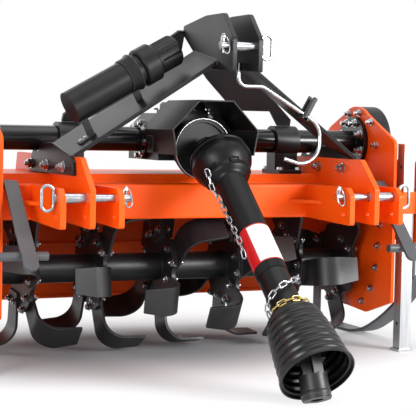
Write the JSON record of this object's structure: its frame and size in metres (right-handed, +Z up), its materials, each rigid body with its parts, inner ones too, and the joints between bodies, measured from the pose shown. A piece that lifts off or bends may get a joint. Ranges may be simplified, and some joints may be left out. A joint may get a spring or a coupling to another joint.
{
  "type": "three-point rotary tiller",
  "caption": "Tractor-mounted rotary tiller with bent tines on a driven rotor, a hooded drive shaft, a hitch mast, stands and skids.",
  "frame": {"origin": "on the floor under the middle of the machine's width and length", "axes": "+X towards the side with the gear case, +Y to the rear away from the tractor, +Z up"},
  "size_m": [1.572, 1.4589, 1.0419],
  "materials": {
    "orange_paint": "gloss orange powder coat",
    "black_paint": "satin black paint",
    "grey_paint": "satin dark grey paint",
    "tine_steel": "satin black paint on forged steel",
    "zinc_steel": "bright zinc plate",
    "joint_steel": "black forged steel",
    "black_plastic": "satin black polyethylene",
    "black_rubber": "satin black moulded rubber"
  },
  "bodies": {
    "frame": {"bearing_housing": "black_paint", "board_pins": "zinc_steel", "canister": "black_plastic", "canister_rail": "black_paint", "cross_tube_left": "black_paint", "cross_tube_right": "black_paint", "gear_case": "black_paint", "gearbox": "black_paint", "guard_rods_left": "grey_paint", "guard_rods_right": "grey_paint", "hitch_lugs_left": "orange_paint", "hitch_lugs_right": "orange_paint", "hood": "orange_paint", "hook_rod": "zinc_steel", "input_fork": "joint_steel", "linch_pins": "zinc_steel", "lower_pin_left": "zinc_steel", "lower_pin_right": "zinc_steel", "main_beam": "orange_paint", "mast_brace_left": "black_paint", "mast_brace_right": "black_paint", "mast_left": "black_paint", "mast_right": "black_paint", "middle_plate_left": "orange_paint", "middle_plate_right": "orange_paint", "pto_guard": "black_paint", "saddle_left": "black_paint", "saddle_right": "black_paint", "side_plate_left": "orange_paint", "side_plate_right": "orange_paint", "skid_left": "grey_paint", "skid_right": "grey_paint", "stand_bracket_left": "orange_paint", "stand_bracket_right": "orange_paint", "top_link_pin": "zinc_steel"},
    "rotor": {"rotor_tube": "tine_steel"},
    "trailing_board": {"trailing_board": "orange_paint"},
    "stand_left": {"stand_leg_left": "zinc_steel"},
    "stand_right": {"stand_leg_right": "zinc_steel"},
    "canister_lid": {"canister_cap": "black_plastic"},
    "front_cross": {"front_cross": "joint_steel"},
    "shaft_upper": {"upper_guard": "black_plastic", "upper_core": "joint_steel", "guard_chain": "zinc_steel"},
    "shaft_lower": {"lower_guard": "black_plastic", "lower_core": "joint_steel", "bellows": "black_rubber", "tether_chain": "zinc_steel", "bellows_chain": "zinc_steel"},
    "rear_cross": {"rear_cross": "joint_steel"},
    "end_yoke": {"end_yoke": "joint_steel"}
  },
  "joints": [
    {"name": "rotor_spin", "type": "hinge", "parent": "frame", "child": "rotor", "pos_m": [0, 0.334, 0.262], "axis": [1, 0, 0], "continuous": true},
    {"name": "board_hinge", "type": "hinge", "parent": "frame", "child": "trailing_board", "pos_m": [0, 0.657, 0.454], "axis": [1, 0, 0], "range_deg": [0, 60]},
    {"name": "stand_slide_left", "type": "slide", "parent": "frame", "child": "stand_left", "axis": [0, 0, 1], "range_m": [0, 0.335]},
    {"name": "stand_slide_right", "type": "slide", "parent": "frame", "child": "stand_right", "axis": [0, 0, 1], "range_m": [0, 0.335]},
    {"name": "canister_lid_turn", "type": "hinge", "parent": "frame", "child": "canister_lid", "pos_m": [-0.141, -0.009, 0.939], "axis": [0.8751, 0.032, 0.4829], "range_deg": [0, 540]},
    {"name": "shaft_swing", "type": "hinge", "parent": "frame", "child": "front_cross", "pos_m": [0, 0.004, 0.645], "axis": [0, 0, 1], "range_deg": [-30, 30]},
    {"name": "shaft_lift", "type": "hinge", "parent": "front_cross", "child": "shaft_upper", "pos_m": [0, 0.004, 0.645], "axis": [-1, 0, 0], "range_deg": [0, 50]},
    {"name": "shaft_telescope", "type": "slide", "parent": "shaft_upper", "child": "shaft_lower", "axis": [0, 0.7581, 0.6521], "range_m": [0, 0.11]},
    {"name": "yoke_lift", "type": "hinge", "parent": "shaft_lower", "child": "rear_cross", "pos_m": [0, -0.60706, 0.11941], "axis": [-1, 0, 0], "range_deg": [0, 45]},
    {"name": "yoke_swing", "type": "hinge", "parent": "rear_cross", "child": "end_yoke", "pos_m": [0, -0.60706, 0.11941], "axis": [0, -0.9114, 0.4115], "range_deg": [-18, 18]}
  ]
}
